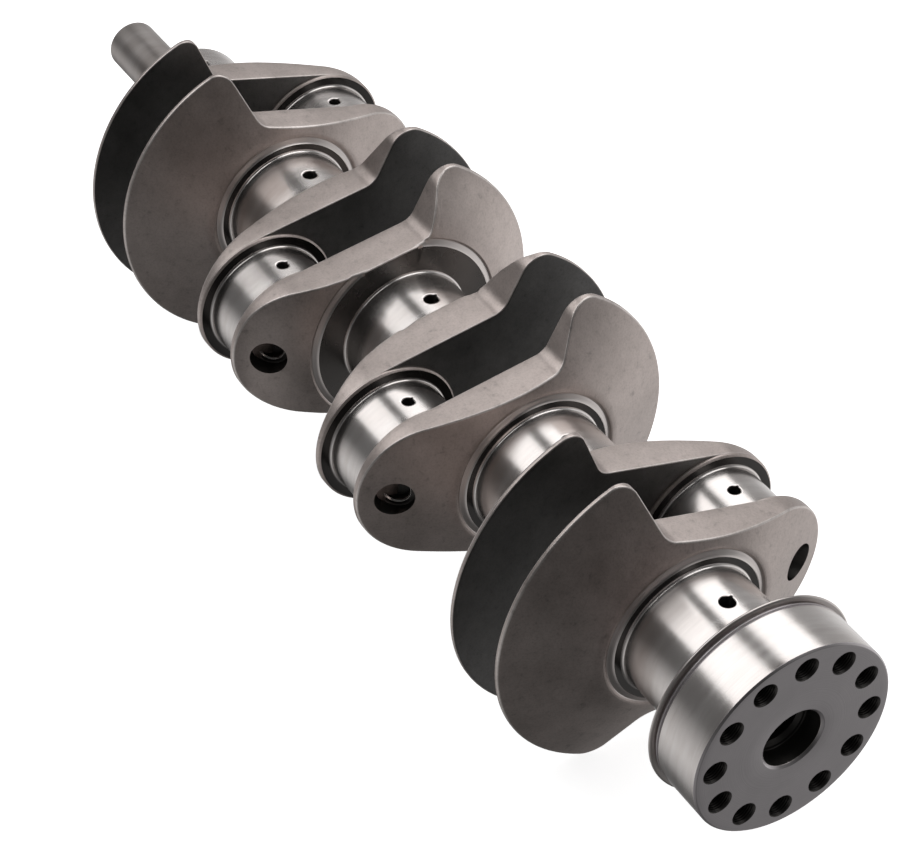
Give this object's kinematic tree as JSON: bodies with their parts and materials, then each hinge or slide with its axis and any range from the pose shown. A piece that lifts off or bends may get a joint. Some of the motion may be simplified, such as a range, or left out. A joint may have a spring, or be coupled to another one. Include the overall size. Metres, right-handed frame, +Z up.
{
  "type": "crankshaft",
  "caption": "Forged flat-plane engine crankshaft with offset crankpins, knife-edged counterweights, a pulley nose and a bolted flywheel flange.",
  "frame": {"origin": "on the rotation axis, halfway between the nose's end and the flange's rear face", "axes": "+X along the rotation axis from the nose to the flange, +Y towards the first and last crankpins, +Z up"},
  "size_m": [0.528, 0.1441, 0.1322],
  "materials": {
    "forged_steel": "shot-peened forging, matte",
    "ground_steel": "ground and polished",
    "machined_steel": "fine turned",
    "plug_steel": "turned",
    "key_steel": "satin"
  },
  "bodies": {
    "root": {"nose": "ground_steel", "woodruff_key": "key_steel", "main_journal_1": "ground_steel", "main_journal_2": "ground_steel", "main_journal_3": "ground_steel", "main_journal_4": "ground_steel", "main_journal_5": "ground_steel", "crankpin_1": "ground_steel", "crankpin_2": "ground_steel", "crankpin_3": "ground_steel", "crankpin_4": "ground_steel", "web_1": "forged_steel", "web_2": "forged_steel", "web_3": "forged_steel", "web_4": "forged_steel", "web_5": "forged_steel", "web_6": "forged_steel", "web_7": "forged_steel", "web_8": "forged_steel", "flange": "machined_steel", "gallery_plug_1": "plug_steel", "gallery_plug_2": "plug_steel", "gallery_plug_3": "plug_steel", "gallery_plug_4": "plug_steel"}
  },
  "joints": []
}
